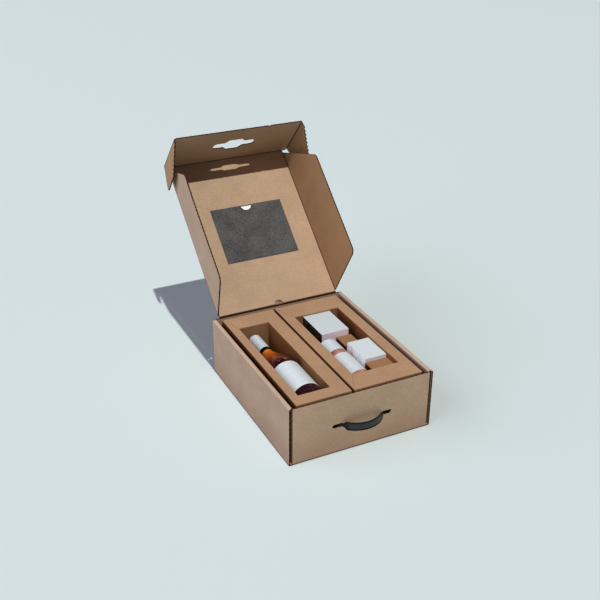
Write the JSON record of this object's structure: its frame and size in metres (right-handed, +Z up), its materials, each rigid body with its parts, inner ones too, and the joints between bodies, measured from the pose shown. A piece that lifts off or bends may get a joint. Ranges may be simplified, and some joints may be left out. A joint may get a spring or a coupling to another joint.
{
  "type": "gift box",
  "caption": "Open corrugated carry box with a hinged lid, tuck flaps and ears, a bowed strap handle, and folded inserts that hold a bottle and cosmetics.",
  "frame": {"origin": "middle of the base's underside", "axes": "+Z up, +Y towards the hinge at the back, +X to the right seen from the handle side"},
  "size_m": [0.3615, 0.7457, 0.5138],
  "materials": {
    "kraft_board": "matte brown kraft corrugated board",
    "black_plastic": "black moulded plastic",
    "black_card": "matte black card",
    "white_card": "matte white card",
    "bottle_glass": "dark amber glass, full",
    "white_cap": "white satin cap",
    "label_paper": "plain uncoated label",
    "tinted_plastic": "pale pink tinted plastic",
    "white_carton": "folding carton with a satin print"
  },
  "bodies": {
    "base": {"base_tray": "kraft_board", "bottle_insert": "kraft_board", "goods_insert": "kraft_board", "goods_divider": "kraft_board", "wine_bottle": "bottle_glass", "wine_cap": "white_cap", "neck_ring": "black_plastic", "wine_label": "label_paper", "lotion_bottle": "tinted_plastic", "lotion_cap": "white_cap", "lotion_label": "label_paper", "large_carton": "white_carton", "small_carton": "white_carton"},
    "lid": {"lid_panel": "kraft_board", "card_sleeve": "black_card", "greeting_card": "white_card"},
    "left_flap": {"left_side_flap": "kraft_board"},
    "right_flap": {"right_side_flap": "kraft_board"},
    "front": {"front_flap": "kraft_board"},
    "left_ear_body": {"left_ear": "kraft_board"},
    "right_ear_body": {"right_ear": "kraft_board"},
    "handle": {"strap_handle": "black_plastic"}
  },
  "joints": [
    {"name": "lid_hinge", "type": "hinge", "parent": "base", "child": "lid", "pos_m": [0, 0.2035, 0.1418], "axis": [-1, 0, 0], "range_deg": [-139, 11]},
    {"name": "front_flap_fold", "type": "hinge", "parent": "lid", "child": "front", "pos_m": [0, 0.51331, 0.41111], "axis": [1, 0, 0], "range_deg": [-93, 9]},
    {"name": "left_flap_fold", "type": "hinge", "parent": "lid", "child": "left_flap", "pos_m": [-0.1549, 0.2035, 0.1418], "axis": [0, 0.7547, 0.6561], "range_deg": [-1, 9]},
    {"name": "right_flap_fold", "type": "hinge", "parent": "lid", "child": "right_flap", "pos_m": [0.1549, 0.2035, 0.1418], "axis": [0, -0.7547, -0.6561], "range_deg": [-1, 9]},
    {"name": "left_ear_fold", "type": "hinge", "parent": "front", "child": "left_ear_body", "pos_m": [-0.1652, 0.51331, 0.41111], "axis": [0, 0.6561, -0.7547], "range_deg": [0, 82]},
    {"name": "right_ear_fold", "type": "hinge", "parent": "front", "child": "right_ear_body", "pos_m": [0.1652, 0.51331, 0.41111], "axis": [0, -0.6561, 0.7547], "range_deg": [0, 74]},
    {"name": "handle_swing", "type": "hinge", "parent": "base", "child": "handle", "pos_m": [0, -0.2035, 0.067], "axis": [-1, 0, 0], "range_deg": [-8, 12]}
  ],
  "couplings": [
    {"joint": "front_flap_fold", "follows": "lid_hinge", "ratio": 0.66187},
    {"joint": "left_flap_fold", "follows": "lid_hinge", "ratio": -0.0633},
    {"joint": "right_flap_fold", "follows": "lid_hinge", "ratio": -0.0633}
  ]
}
